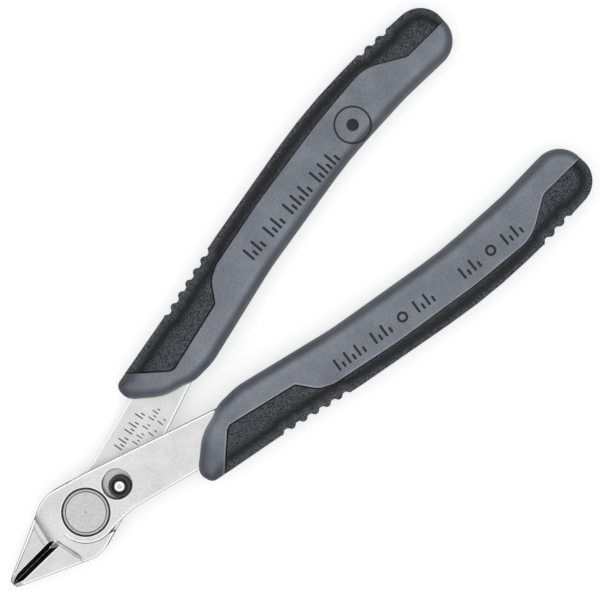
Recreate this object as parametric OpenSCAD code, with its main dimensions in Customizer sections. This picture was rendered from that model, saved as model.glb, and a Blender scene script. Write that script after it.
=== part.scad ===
// Small flush cutter for electronics work.
// Two lapped steel halves turn on a riveted joint, and a hidden torsion spring opens them.
// Frame: origin on the pivot axis at the parting plane, +Y towards the tip, +Z up, out of the
// jaws' bevelled side. The cutter lies flat and closed.

/* [Steel halves] */
// Thickness of each half where the two lap
plate_t = 3.0; // [2.8:0.1:3.2]
// Distance from the pivot axis to the tip
nose_l = 18.55; // [18.3:0.05:18.8]
// Radius of the round boss that each half turns on
boss_r = 5.5; // [5.4:0.05:5.55]
// Clearance between a boss and the jaw that curves around it
boss_gap = 0.05; // [0.03:0.01:0.1]
// Clearance kept on each side of the parting plane and of the cutting line
lap_gap = 0.01; // [0.005:0.005:0.02]

/* [Cutting edges] */
// Half-width of the V between the bevels, at the front of the jaws
bevel_w = 0.87; // [0.7:0.01:1.0]
// Where the V starts, measured from the pivot axis
bevel_from = 7.0; // [6.9:0.1:7.4]
// Where the V reaches its full depth
bevel_full = 9.3; // [9.0:0.1:10.0]
// Thickness taken off the front of a jaw at its relief step
relief = 0.7; // [0.5:0.1:0.9]
// Width of the chamfer along the outer edge of the front jaw
edge_chamfer = 0.75; // [0.5:0.05:0.9]

/* [Joint] */
// Radius of the rivet's shank
shank_r = 2.6; // [2.4:0.1:2.8]
// Radius of the rivet's flat head
head_r = 3.78; // [3.7:0.01:3.8]
// Outer radius of the bearing ring around each rivet head
ring_r = 4.28; // [4.2:0.01:4.4]
// Depth of the seat for the ring and the head
seat_d = 1.2; // [1.0:0.1:1.3]
// Radial clearance of the running fits
run_gap = 0.02; // [0.01:0.01:0.05]

/* [Opening stop] */
// Radius of the steel stop pin
pin_r = 1.0; // [0.8:0.1:1.2]
// Outer radius of the black sleeve on the pin
sleeve_r = 2.0; // [1.8:0.1:2.0]
// Radius of the hole in the front half that the sleeve moves in
stop_hole_r = 2.65; // [2.65:0.01:2.7]

/* [Return spring] */
// Radius of the spring wire
wire_r = 0.35; // [0.25:0.05:0.35]
// Radius of the ring's centre line
coil_r = 3.6; // [3.5:0.05:3.65]
// Part of a full turn that the wire goes round, in degrees
spring_arc = 320; // [280:5:330]

/* [Grips] */
// Thickness of each grip
grip_t = 9.4; // [9.0:0.1:9.8]
// Radius that rounds the grip's edges
grip_round = 2.0; // [1.8:0.1:2.0]
// Thickness of the soft black pad over the grey body
pad_d = 1.5; // [1.3:0.1:1.6]
// Distance between two ribs on the outer edge
rib_pitch = 2.45; // [2.3:0.05:2.5]
// Ribs in the group near the collar
upper_ribs = 6; // [3:1:6]
// Ribs in the group near the end
lower_ribs = 3; // [2:1:4]
// Radius of the scallop between two ribs
scallop_r = 1.3; // [1.1:0.1:1.4]

/* [Hidden] */
$fn = 96;

fit_gap = 0.01;              // between pieces that are pressed or moulded together
eps = 0.01;                  // overshoot of a cutting solid
big = 60;                    // larger than the head, for cutting solids
stop_at = [-0.95, -7.4];     // stop pin, on the rear half
stop_hole_at = [-0.35, -7.4];
wire_play = 0.12;            // room around the wire in its groove
groove_d = 0.5;              // depth of the spring groove in each half
leg_l = 0.8;                 // part of each spring leg that enters a half
core_r = 0.3;                // edge rounding left on the grey core under the pad
back_step_z = plate_t - 0.3; // height of the rear half's jaw past its small step
back_step_from = 6.9;
step_turn = 12.5;            // the steps on both jaws lean back towards the outer edge, in degrees
cove_from = 7.0;             // the front jaw falls to its relief between these two distances
cove_to = 8.5;
run_out_over = 0.4;          // rise of the V's start over the front face
tip_gap_w = 0.3;             // half-width of the V at the very tip
chamfer_drop = 0.55;         // how far the front jaw's edge chamfer reaches down
chamfer_from = 8.2;
chamfer_to = 16.6;
dimple_r = 0.35;             // centre mark in the rivet and in the pin
rivet_dimple = 0.12;
pin_dimple = 0.2;
pin_low = 0.3;               // the pin and the sleeve end below the plate's face
sleeve_low = 0.5;
jaw_root = [3.9, -8, 0];     // inner corner of the jaw's own area, inside the boss

// The jaw's faces, as heights over the parting plane at a distance y from the pivot.
relief_z = plate_t - relief;
taper_from = 9.4;
taper_slope = 0.172;
tip_from = 17.1;
tip_slope = 0.9;
flush_from = 6.5;
flush_slope = 0.115;
function front_z(y) =
    y < taper_from ? relief_z
    : relief_z - taper_slope * (y - taper_from) - max(0, y - tip_from) * (tip_slope - taper_slope);
function back_z(y) = flush_slope * max(0, y - flush_from) - plate_t;

// The outer edge of a jaw is straight along the taper.
function edge_x(y) = 5.89 - 0.413 * (y - 7);

// Corners of the head's outer edge on the +X side, from the tip down: x, y and the corner's radius.
nose = [lap_gap, nose_l, 0];
nose_side = [0.85, nose_l - 0.12, 0.6];
shoulder = [7.35, 3.45, 6];
waist = [5.15, -4.3, 12];

// Corners of the front half's arm: down its outer edge, round the tang's end, up its inner edge.
arm = [
    [-5.37, -6.3, 9], [-10.9, -27.9, 12], [-13.4, -40, 40], [-17.0, -58, 40], [-19.4, -75, 40],
    [-20.2, -90, 4], [-18.7, -94, 2], [-15.0, -94, 2], [-13.8, -90, 4],
    [-12.4, -75, 40], [-9.4, -58, 40], [-6.2, -40, 40], [-4.8, -29.2, 0], [-2.9, -28.6, 0]
];
arm_leaves = 192.6;          // angle on the boss where the arm's outer edge starts, in degrees

// Corners of a grip's outline in the parting plane, counter-clockwise on the +X side.
grip_corners = [
    [9.1, -18.85, 2.9], [4.75, -24.5, 8], [2.97, -30.2, 5], [3.0, -34.5, 12],
    [7.6, -53.6, 60], [11.5, -77.3, 80], [12.25, -92, 40],
    [11.9, -106.5, 5], [22.9, -106.4, 5],
    [23.6, -91.5, 30], [23.4, -78, 110], [18.4, -50, 60], [14.9, -34.5, 60], [12.1, -19.3, 1.5]
];
// Corners of the area that the pad covers; it runs off the grip's outer side and end.
pad_corners = [
    [13.6, -20.9, 0], [6.76, -28.6, 1.8], [9.95, -42.2, 0.9], [13.5, -44.7, 4],
    [14.75, -47.2, 3], [17.6, -60, 60], [20.2, -77, 60], [21.2, -90, 3],
    [17.05, -96.9, 1.5], [17.05, -110, 0], [27, -110, 0], [27, -20.9, 0]
];
upper_rib_at = [15.05, -35.15];
upper_rib_turn = 13.2;       // slope of the outer edge along the upper ribs, in degrees
lower_rib_at = [23.55, -92.0];
lower_rib_turn = -3.2;
scallop_in = 0.45;           // depth of a scallop

steel = "#d3d3d3";
dark_steel = "#8e8e90";
grey = "#7a7e87";
black = "#3b3b41";

function unit(v) = v / norm(v);
function turned(v, a) = [v.x * cos(a) - v.y * sin(a), v.x * sin(a) + v.y * cos(a)];
function flat(lists) = [for (l = lists) for (p = l) p];
function next_of(l, i) = l[(i + 1) % len(l)];
function prev_of(l, i) = l[(i + len(l) - 1) % len(l)];
function xy(c) = [c.x, c.y];
function left_of(v) = let (u = unit(v)) [-u.y, u.x];

// One rounded corner as points on its arc, about one for each 8 degrees of turn.
function corner(p, q, s, r) =
    r == 0 ? [q] :
    let (a = unit(p - q), b = unit(s - q),
         half = acos(a * b) / 2,
         centre = q + unit(a + b) * r / sin(half),
         start = q + a * r / tan(half) - centre,
         turn = (cross(a, b) > 0 ? -1 : 1) * (180 - 2 * half),
         steps = max(2, ceil(abs(turn) / 8)))
    [for (i = [0 : steps]) centre + turned(start, turn * i / steps)];

// A closed outline from corners with radii.
function outline(corners) = flat([for (i = [0 : len(corners) - 1])
    corner(xy(prev_of(corners, i)), xy(corners[i]), xy(next_of(corners, i)), corners[i].z)]);

// The same corners moved inwards by e; the list runs counter-clockwise.
function inset(corners, e) = [for (i = [0 : len(corners) - 1])
    let (q = corners[i],
         into = xy(q) - xy(prev_of(corners, i)),
         away = xy(next_of(corners, i)) - xy(q),
         n1 = left_of(into), n2 = left_of(away),
         moved = xy(q) + (n1 + n2) * e / (1 + n1 * n2),
         r = cross(into, away) > 0 ? max(q.z - e, 0.05) : q.z + e)
    [moved.x, moved.y, r]];

function arc(r, from, to) =
    let (steps = ceil(abs(to - from) / 4))
    [for (i = [0 : steps]) let (a = from + (to - from) * i / steps) r * [cos(a), sin(a)]];

// A solid skinned over a list of sections with the same number of points each. Each section
// runs counter-clockwise as seen from where the list goes.
module skin(sections) {
    n = len(sections[0]);
    last = len(sections) - 1;
    polyhedron(
        points = flat(sections),
        faces = concat(
            [[for (i = [0 : n - 1]) i]],
            [for (k = [0 : last - 1]) for (i = [0 : n - 1])
                let (j = (i + 1) % n) [k * n + i, (k + 1) * n + i, (k + 1) * n + j, k * n + j]],
            [[for (i = [n - 1 : -1 : 0]) last * n + i]]
        ),
        convexity = 6
    );
}

// ---- Steel halves ----

module own_layer() {
    arm_start = boss_r * [cos(arm_leaves), sin(arm_leaves)];
    boss_top = [lap_gap, sqrt(boss_r * boss_r - lap_gap * lap_gap)];
    edges = concat([[arm_start.x, arm_start.y, 0]], arm, [waist, shoulder, nose_side, nose],
        [[boss_top.x, boss_top.y, 0]]);
    polygon(concat(outline(edges), arc(boss_r, 91, arm_leaves - 1)));
}

// The jaw where it fills the other half's layer, curved around the other half's boss.
module jaw_layer() {
    difference() {
        polygon(outline([[lap_gap, jaw_root.y, 0], jaw_root, waist, shoulder, nose_side, nose]));
        translate([-big / 2, -big]) square([big, big]);
        circle(boss_r + boss_gap);
    }
}

// One half before its jaw is ground: its own layer above, its jaw also below.
module blank() {
    translate([0, 0, lap_gap]) linear_extrude(plate_t - lap_gap) own_layer();
    translate([0, 0, -plate_t]) linear_extrude(plate_t + 2 * lap_gap) jaw_layer();
}

// A cutting prism with a Y-Z profile, turned about Z at the cutting line.
module across(profile, turn) {
    rotate([0, 0, turn])
        translate([-big / 2, 0, 0])
            rotate([90, 0, 90])
                linear_extrude(big) polygon(profile);
}

// Front faces common to both jaws: the taper and the steeper fall at the tip.
module taper_cut() {
    before = taper_from - back_step_from;
    across([
        [back_step_from, front_z(taper_from) + before * taper_slope],
        [tip_from, front_z(tip_from)], [nose_l + 1, front_z(nose_l + 1)],
        [nose_l + 1, big], [back_step_from, big]
    ], 0);
}

// The flush side, one plane over both jaws.
module flush_cut() {
    across([
        [flush_from, back_z(flush_from)], [nose_l + 1, back_z(nose_l + 1)],
        [nose_l + 1, -big], [flush_from, -big]
    ], 0);
}

// The V between the bevels, with a sloping run-out at its end. Its walls rise a little above
// the front face and its edge lies a little below the flush one, so that every cut is clean.
module bevel_cut() {
    over = 0.15;
    function section(y, w, z_top, z_edge) =
        let (w_over = w * (z_top + over - z_edge) / (z_top - z_edge), z = z_top + over)
        [[w_over, y, big], [w_over, y, z], [0, y, z_edge - over / 3],
         [-w_over, y, z], [-w_over, y, big]];
    run_out = (plate_t - back_z(bevel_full)) / (bevel_full - bevel_from);
    taper = tip_from - bevel_full;
    skin(concat(
        [for (y = [bevel_from - 0.1, bevel_from + 0.8])
            section(y, bevel_w, plate_t + run_out_over * (1 - (y - bevel_from)),
                plate_t - run_out * (y - bevel_from))],
        [for (i = [0 : 4]) let (y = bevel_full + taper * i / 4)
            section(y, bevel_w, front_z(y), back_z(y))],
        [section(nose_l + 0.1, tip_gap_w, front_z(nose_l), back_z(nose_l))]
    ));
}

// Chamfer along the outer edge of the front jaw's face.
module edge_cut() {
    function section(y) = let (x = edge_x(y), z = front_z(y))
        [[x + 2, y, z + 2], [x + 2, y, z - chamfer_drop], [x + 0.05, y, z - chamfer_drop],
         [x - edge_chamfer, y, z + 0.02]];
    skin([section(chamfer_from), section(taper_from), section(chamfer_to)]);
}

module joint_cuts() {
    translate([0, 0, -eps]) cylinder(h = plate_t + 2 * eps, r = shank_r + run_gap);
    translate([0, 0, plate_t - seat_d]) cylinder(h = seat_d + eps, r = ring_r + fit_gap);
    spring_groove();
}

module spring_groove() {
    half_w = wire_r + wire_play;
    rotate_extrude()
        translate([coil_r - half_w, -eps])
            square([2 * half_w, groove_d + eps]);
}

module front_half() {
    color(steel)
        difference() {
            blank();
            joint_cuts();
            translate([stop_hole_at.x, stop_hole_at.y, -eps])
                cylinder(h = plate_t + 2 * eps, r = stop_hole_r);
            leg_hole(0);
            across([
                [cove_from, plate_t], [cove_to, relief_z], [big, relief_z], [big, big], [cove_from, big]
            ], -step_turn);
            taper_cut();
            flush_cut();
            bevel_cut();
            edge_cut();
        }
}

module rear_half() {
    color(steel)
        difference() {
            rotate([0, 180, 0]) blank();
            rotate([0, 180, 0]) joint_cuts();
            translate([stop_at.x, stop_at.y, -plate_t - eps])
                cylinder(h = plate_t + 2 * eps, r = pin_r + fit_gap);
            leg_hole(1);
            across([
                [back_step_from, back_step_z], [big, back_step_z], [big, big], [back_step_from, big]
            ], step_turn);
            taper_cut();
            flush_cut();
            bevel_cut();
        }
}

// ---- Joint ----

// The rivet stands in the rear half and its head turns in the front ring.
module pivot_rivet() {
    color(steel)
        difference() {
            union() {
                translate([0, 0, -plate_t + seat_d])
                    cylinder(h = 2 * plate_t - 1.25 * seat_d, r = shank_r);
                translate([0, 0, plate_t - seat_d + 2 * fit_gap])
                    cylinder(h = seat_d - 3 * fit_gap, r = head_r);
            }
            translate([0, 0, plate_t - rivet_dimple]) cylinder(h = 1, r = dimple_r);
        }
}

module rivet_cap() {
    color(steel)
        translate([0, 0, -plate_t + fit_gap])
            cylinder(h = seat_d - 2 * fit_gap, r = head_r);
}

module ring() {
    translate([0, 0, plate_t - seat_d + fit_gap])
        difference() {
            cylinder(h = seat_d - 3 * fit_gap, r = ring_r);
            translate([0, 0, -eps]) cylinder(h = seat_d + 2 * eps, r = head_r + run_gap);
        }
}

module front_ring() {
    color(dark_steel) ring();
}

module rear_ring() {
    color(dark_steel) rotate([0, 180, 0]) ring();
}

// ---- Opening stop ----

module stop_pin() {
    color(steel)
        translate([stop_at.x, stop_at.y, -plate_t + fit_gap])
            difference() {
                cylinder(h = 2 * plate_t - pin_low, r = pin_r);
                translate([0, 0, 2 * plate_t - pin_low - pin_dimple]) cylinder(h = 1, r = dimple_r);
            }
}

module stop_sleeve() {
    color(black)
        translate([stop_at.x, stop_at.y, 2 * fit_gap])
            difference() {
                cylinder(h = plate_t - sleeve_low, r = sleeve_r);
                translate([0, 0, -eps]) cylinder(h = plate_t, r = pin_r + run_gap);
            }
}

// ---- Return spring ----

// Where the wire turns out of its ring: end 0 enters the front half, end 1 the rear half.
function leg_at(end) = let (a = end * spring_arc) [coil_r * cos(a), coil_r * sin(a), 0];

module leg_hole(end) {
    translate(leg_at(end)) rotate([180 * end, 0, 0])
        cylinder(h = groove_d + leg_l, r = wire_r + wire_play / 2);
}

// An open ring of wire between the halves with an upright leg at each end.
module return_spring() {
    color(dark_steel)
        union() {
            rotate_extrude(angle = spring_arc) translate([coil_r, 0]) circle(wire_r);
            for (end = [0, 1])
                translate(leg_at(end)) rotate([180 * end, 0, 0])
                    translate([0, 0, -wire_r / 2])
                        cylinder(h = groove_d + leg_l, r = wire_r * 0.9);
        }
}

// ---- Grips ----

// A grip, or the same shape shrunk by a depth, as rounded sections stacked along Z.
module grip_shape(depth) {
    round_r = max(grip_round - depth, core_r);
    side_h = grip_t / 2 - depth - round_r;
    levels = 4;
    quarter = [for (i = [0 : levels]) let (a = 90 * i / levels)
        [depth + round_r * (1 - cos(a)), side_h + round_r * sin(a)]];
    profile = concat([for (i = [levels : -1 : 0]) [quarter[i].x, -quarter[i].y]], quarter);
    skin([for (p = profile) [for (q = outline(inset(grip_corners, p.x))) [q.x, q.y, p.y]]]);
}

module pad_area() {
    translate([0, 0, -grip_t]) linear_extrude(2 * grip_t) polygon(outline(pad_corners));
}

module tang_space() {
    translate([0, 0, -plate_t])
        linear_extrude(plate_t)
            polygon(outline(concat(
                [for (i = [len(arm) - 1 : -1 : 1]) [-arm[i].x, arm[i].y, arm[i].z]],
                [[-arm[0].x, arm[0].y, 0], [0, arm[0].y, 0]]
            )));
}

module ribs(at, turn, count) {
    for (i = [0 : count - 1])
        translate(at) rotate([0, 0, turn])
            translate([scallop_r - scallop_in, -rib_pitch * i])
                cylinder(h = 3 * grip_t, r = scallop_r, center = true, $fn = 32);
}

// The rear half's grip; the front one is the same turned over.
module grip_pad() {
    color(black)
        resize([0, 0, grip_t]) difference() {
            intersection() {
                grip_shape(0);
                pad_area();
            }
            grip_shape(pad_d);
            ribs(upper_rib_at, upper_rib_turn, upper_ribs);
            ribs(lower_rib_at, lower_rib_turn, lower_ribs);
        }
}

module grip_body() {
    color(grey)
        resize([0, 0, grip_t]) difference() {
            grip_shape(0);
            difference() {
                pad_area();
                grip_shape(pad_d);
            }
            tang_space();
        }
}

module rear_grip_body() { grip_body(); }

module rear_grip_pad() { grip_pad(); }

module front_grip_body() { rotate([0, 180, 0]) grip_body(); }

module front_grip_pad() { rotate([0, 180, 0]) grip_pad(); }

rear_half();
front_half();
pivot_rivet();
rivet_cap();
front_ring();
rear_ring();
stop_pin();
stop_sleeve();
return_spring();
rear_grip_body();
rear_grip_pad();
front_grip_body();
front_grip_pad();
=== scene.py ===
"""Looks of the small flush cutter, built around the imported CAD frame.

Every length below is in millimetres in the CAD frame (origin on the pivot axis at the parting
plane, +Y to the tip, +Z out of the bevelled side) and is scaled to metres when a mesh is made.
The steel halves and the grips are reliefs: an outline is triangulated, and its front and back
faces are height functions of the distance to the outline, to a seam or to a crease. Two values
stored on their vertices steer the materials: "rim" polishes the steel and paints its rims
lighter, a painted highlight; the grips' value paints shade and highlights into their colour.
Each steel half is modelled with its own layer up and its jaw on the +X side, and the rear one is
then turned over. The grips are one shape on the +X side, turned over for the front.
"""

import math

import bmesh
import bpy
import numpy as np
from mathutils import Matrix, Vector
from mathutils.geometry import delaunay_2d_cdt

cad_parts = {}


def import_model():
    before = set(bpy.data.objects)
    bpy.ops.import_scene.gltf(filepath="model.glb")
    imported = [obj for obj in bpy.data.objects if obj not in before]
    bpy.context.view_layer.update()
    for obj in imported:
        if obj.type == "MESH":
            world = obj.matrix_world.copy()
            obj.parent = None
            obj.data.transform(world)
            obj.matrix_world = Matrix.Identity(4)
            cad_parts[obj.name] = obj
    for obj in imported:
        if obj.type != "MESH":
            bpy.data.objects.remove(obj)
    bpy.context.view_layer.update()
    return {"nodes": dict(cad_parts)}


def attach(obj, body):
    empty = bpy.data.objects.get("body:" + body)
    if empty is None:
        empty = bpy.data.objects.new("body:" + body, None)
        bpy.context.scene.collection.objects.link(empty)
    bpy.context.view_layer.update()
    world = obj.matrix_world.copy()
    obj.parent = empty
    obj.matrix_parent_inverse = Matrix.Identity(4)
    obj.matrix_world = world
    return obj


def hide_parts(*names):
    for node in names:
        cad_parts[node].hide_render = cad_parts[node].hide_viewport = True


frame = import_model()
MM = 0.001

# ---- Dimensions of the steel, as in the CAD ----
PLATE = 3.0  # thickness of one half
LAP = 0.01  # clearance of a half from the parting plane
NOSE = 18.55  # Y of the tip
BOSS_R = 5.5
JAW_R = 5.55  # round foot of the full-thickness jaw
SHANK_R = 2.62
SEAT_R = 4.33
SEAT_Z = 1.8
HEAD_R = 3.60
RING_IN = 3.69
RING_OUT = 4.02
STOP_HOLE = (-0.35, -7.4, 2.65)  # x, y, radius
STOP_PIN = (-0.95, -7.4, 1.0)
SLEEVE_R = 2.0
BEVEL_W = 0.87  # width of the bevel in plan where its full depth starts
BEVEL_FULL = 9.3  # Y of that place
BEVEL_NARROWS = 0.012  # loss of width per mm towards the tip
BEVEL_POINT = (16.6, 18.5, 0.05)  # Y where it starts to close, Y where it is closed, width there
RELIEF_Z = 2.3  # height of the jaw's front face past the cove or step
TAPER_FROM = 9.4
TAPER_SLOPE = 0.172
TIP_FROM = 17.1
TIP_SLOPE = 0.42
FLUSH_FROM = 6.5
FLUSH_SLOPE = 0.115
STEP_TURN = -12.5  # slant of the cove, the step and the scribed lines, in degrees
COVE = (6.2, 8.46)  # start and end of the front jaw's cove, square to the slant
# Upper edge of the polished strip along the front jaw's outer side.
STRIP = np.array([[5.39, 8.2], [1.93, 16.6]])
STRIP_SQUARE = np.array([8.4, 3.46]) / math.hypot(3.46, 8.4)
STRIP_W = (0.62, 0.72)
# Foot of the full-thickness jaw, clear of the other half's edge over the whole travel.
JAW_ROOT = np.array([(6.9, -4.4), (5.66, -0.5)])
GRIP_H = 4.7

# Corners of one half as (x, y, radius), down the outer edge, round the tang and up the inner edge.
SHOULDER = (7.35, 3.45, 6)
WAIST = (5.15, -4.3, 12)
NOSE_SIDE = (0.85, NOSE - 0.12, 0.6)
ARM = [
    (-5.37, -6.3, 9), (-10.9, -27.9, 12), (-13.4, -40, 40), (-17.0, -58, 40), (-19.4, -75, 40),
    (-20.2, -90, 4), (-18.7, -94, 2), (-15.0, -94, 2), (-13.8, -90, 4),
    (-12.4, -75, 40), (-9.4, -58, 40), (-6.2, -40, 40), (-4.8, -30.2, 0), (-3.2, -29.15, 0),
]
ARM_LEAVES = 192.6  # angle on the boss where the arm's edge leaves it, in degrees

# ---- Finer details of the steel ----
EDGE_R = 0.40  # reach of the softened edge
FALL_AT_EDGE = 0.11  # radius of the edge along the outline
FALL_AT_HOLE = 0.2
EDGE_ROWS = [0.012, 0.04, 0.07, 0.12, 0.26, EDGE_R]  # rows of points beside an edge
SEAT_ROWS = [0.03, 0.06, 0.12, 0.24]
BEVEL_ROWS = [0.07, 0.13, 0.20]
JAW_FROM = 5.6  # Y above which the jaw has its own fine points
JAW_GRID_FROM = 5.9
JAW_PITCH = 0.2
ARM_PITCH = 1.1

# ---- Grips ----
# Outline and the seam of the soft pad, on the +X side, as corners (x, y, radius).
GRIP = [
    (9.1, -18.9, 2.9), (4.75, -24.2, 9), (3.75, -28.0, 3), (2.95, -29.9, 5), (3.0, -34.5, 12),
    (7.6, -53.6, 60), (11.5, -77.3, 80), (12.25, -92, 40),
    (11.9, -106.5, 5), (22.9, -106.4, 5),
    (23.6, -91.5, 30), (23.4, -78, 110), (18.4, -50, 60), (14.9, -34.5, 60), (12.1, -19.3, 1.5),
]
SEAM = [
    (14.2, -20.2, 0), (6.76, -28.6, 1.8), (9.95, -42.2, 0.9), (13.5, -44.7, 4),
    (14.75, -47.2, 3), (17.35, -60, 60), (19.9, -77, 60), (21.1, -90, 8),
    (17.05, -96.9, 1.5), (17.05, -108.5, 0),
]


# ---- Plane geometry ----

def round_corner(p, q, s, r, degrees):
    """Points on the arc that rounds the corner q of the path p, q, s."""
    if r == 0:
        return [q]
    a = (p - q) / np.linalg.norm(p - q)
    b = (s - q) / np.linalg.norm(s - q)
    half = math.acos(max(-1.0, min(1.0, float(a @ b)))) / 2
    middle = (a + b) / np.linalg.norm(a + b)
    centre = q + middle * r / math.sin(half)
    start = q + a * r / math.tan(half) - centre
    turn = math.pi - 2 * half
    if a[0] * b[1] - a[1] * b[0] > 0:
        turn = -turn
    steps = max(2, math.ceil(abs(math.degrees(turn)) / degrees))
    points = []
    for i in range(steps + 1):
        t = turn * i / steps
        cosine, sine = math.cos(t), math.sin(t)
        across = start[0] * cosine - start[1] * sine
        up = start[0] * sine + start[1] * cosine
        points.append(centre + np.array([across, up]))
    return points


def rounded(corners, degrees=3.0, closed=True):
    """An outline through corners (x, y, radius)."""
    points = []
    n = len(corners)
    at = [np.array(c[:2], float) for c in corners]
    for i in range(n):
        if not closed and i in (0, n - 1):
            points.append(at[i])
        else:
            points += round_corner(at[i - 1], at[i], at[(i + 1) % n], corners[i][2], degrees)
    return np.array(points)


def arc(r, start, end, step=3.0, centre=(0.0, 0.0)):
    """Points on an arc, its angles and the longest step in degrees."""
    n = max(2, math.ceil(abs(end - start) / step))
    angles = np.radians(np.linspace(start, end, n + 1))
    return np.array(centre) + r * np.column_stack([np.cos(angles), np.sin(angles)])


def circle(r, centre=(0.0, 0.0), step=3.0):
    return arc(r, 0, 360, step, centre)[:-1]


def divided(path, longest, closed=True):
    """The same path with no stretch longer than longest."""
    out = []
    ends = range(len(path)) if closed else range(len(path) - 1)
    for i in ends:
        p, q = path[i], path[(i + 1) % len(path)]
        n = max(1, math.ceil(np.linalg.norm(q - p) / longest))
        out += [p + (q - p) * k / n for k in range(n)]
    if not closed:
        out.append(path[-1])
    return np.array(out)


def distance(points, path, closed=True):
    """Distance of each point to a path."""
    a = path if closed else path[:-1]
    b = np.roll(path, -1, axis=0) if closed else path[1:]
    d = b - a
    size = np.maximum((d * d).sum(1), 1e-12)
    best = np.full(len(points), np.inf)
    for k in range(len(a)):
        t = np.clip(((points - a[k]) @ d[k]) / size[k], 0, 1)
        gap = points - a[k] - t[:, None] * d[k]
        best = np.minimum(best, (gap * gap).sum(1))
    return np.sqrt(best)


def inside(points, path):
    """Even-odd test of each point against a closed path."""
    x, y = points[:, 0], points[:, 1]
    hit = np.zeros(len(points), bool)
    for p, q in zip(path, np.roll(path, -1, axis=0)):
        crosses = (p[1] > y) != (q[1] > y)
        if crosses.any():
            at = p[0] + (y - p[1]) / (q[1] - p[1] + 1e-15) * (q[0] - p[0])
            hit ^= crosses & (x < at)
    return hit


def leftward(path, closed=True):
    """Unit vectors to the left of a path, at its points."""
    ahead = np.roll(path, -1, axis=0) - np.roll(path, 1, axis=0)
    if not closed:
        ahead[0], ahead[-1] = path[1] - path[0], path[-1] - path[-2]
    left = np.column_stack([-ahead[:, 1], ahead[:, 0]])
    return left / np.maximum(np.linalg.norm(left, axis=1), 1e-9)[:, None]


def rings(path, offsets, closed=True, both=False):
    """Points beside a path at the given offsets, left of it, or on both sides."""
    left = leftward(path, closed)
    found = []
    for offset in offsets:
        for side in ((1, -1) if both else (1,)):
            p = path + left * offset * side
            found.append(p[distance(p, path, closed) > offset * 0.97])
    return np.concatenate(found)


def fill(path, pitch, keep_off):
    """An even field of points inside an outline."""
    low, high = path.min(0), path.max(0)
    rows = np.arange(low[1], high[1], pitch * 0.866)
    cols = np.arange(low[0], high[0], pitch)
    grid = np.array([(x + (i % 2) * pitch / 2, y) for i, y in enumerate(rows) for x in cols])
    grid = grid[inside(grid, path)]
    return grid[distance(grid, path) > keep_off]


def triangulate(loops, lines, points):
    """A constrained triangulation of closed loops, open lines and loose points."""
    verts, edges = [], []
    for path, closed in [(p, True) for p in loops] + [(p, False) for p in lines]:
        first = len(verts)
        verts += [tuple(p) for p in path]
        edges += [(first + i, first + i + 1) for i in range(len(path) - 1)]
        if closed:
            edges.append((len(verts) - 1, first))
    verts += [tuple(p) for p in points]
    result = delaunay_2d_cdt([Vector(v) for v in verts], edges, [], 0, 1e-5, False)
    v = np.array([tuple(p) for p in result[0]])
    t = np.array([f for f in result[2] if len(f) == 3])
    a, b, c = v[t[:, 0]], v[t[:, 1]], v[t[:, 2]]
    area = (b[:, 0] - a[:, 0]) * (c[:, 1] - a[:, 1]) - (b[:, 1] - a[:, 1]) * (c[:, 0] - a[:, 0])
    t[area < 0] = t[area < 0][:, ::-1]
    return v, t


# ---- Reliefs ----

class Relief:
    """A closed mesh over a triangulated outline. Each triangle has a top and a bottom patch, and
    each patch has its own height function, so that steps between patches become upright walls."""

    def __init__(self, v, t, top_of, bottom_of, heights, slots):
        self.v, self.t, self.slots = v, t, slots
        middles = v[t].mean(1)
        self.top, self.bottom = top_of(middles), bottom_of(middles)
        self.points, self.index, self.faces, self.face_slots = [], {}, [], []
        self.z = {name: f(v) for name, f in heights.items()}
        self.build()

    def vertex(self, patch, i):
        key = (patch, i)
        if key not in self.index:
            self.index[key] = len(self.points)
            self.points.append((self.v[i][0], self.v[i][1], self.z[patch][i]))
        return self.index[key]

    def face(self, keys, patch):
        ids = [self.vertex(*k) for k in keys]
        self.faces.append(ids)
        self.face_slots.append(self.slots.get(patch, 0))

    def build(self):
        owner = {}
        for k, (a, b, c) in enumerate(self.t):
            if self.top[k] is not None:
                for i, j in ((a, b), (b, c), (c, a)):
                    owner[(i, j)] = k
        for k, (a, b, c) in enumerate(self.t):
            up, down = self.top[k], self.bottom[k]
            if up is None:
                continue
            self.face([(up, a), (up, b), (up, c)], up)
            self.face([(down, c), (down, b), (down, a)], down)
            for i, j in ((a, b), (b, c), (c, a)):
                other = owner.get((j, i))
                if other is None:
                    self.face([(down, i), (down, j), (up, j), (up, i)], "wall")
                elif k < other:
                    if self.top[other] != up:
                        low = self.top[other]
                        self.face([(low, i), (low, j), (up, j), (up, i)], "wall")
                    if self.bottom[other] != down:
                        high = self.bottom[other]
                        self.face([(down, i), (down, j), (high, j), (high, i)], "wall")

    def make(self, name, materials, turned_over=False, sharp=28.0):
        points = np.array(self.points) * MM
        if turned_over:
            points = points * np.array([-1.0, 1.0, -1.0])
        return new_piece(name, points, self.faces, materials, sharp, self.face_slots)


def new_piece(name, points, faces, materials, sharp, face_slots=None):
    """A smooth-shaded mesh object, with edges sharper than so many degrees marked."""
    mesh = bpy.data.meshes.new(name)
    mesh.from_pydata([tuple(p) for p in points], [], [list(f) for f in faces])
    for material in materials:
        mesh.materials.append(material)
    if face_slots is not None:
        mesh.polygons.foreach_set("material_index", face_slots)
    bm = bmesh.new()
    bm.from_mesh(mesh)
    bmesh.ops.remove_doubles(bm, verts=bm.verts, dist=2e-7)
    bmesh.ops.dissolve_degenerate(bm, edges=bm.edges, dist=1e-7)
    bm.to_mesh(mesh)
    bm.free()
    mesh.shade_smooth()
    mesh.set_sharp_from_angle(angle=math.radians(sharp))
    piece = bpy.data.objects.new(name, mesh)
    bpy.context.scene.collection.objects.link(piece)
    return piece


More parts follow.
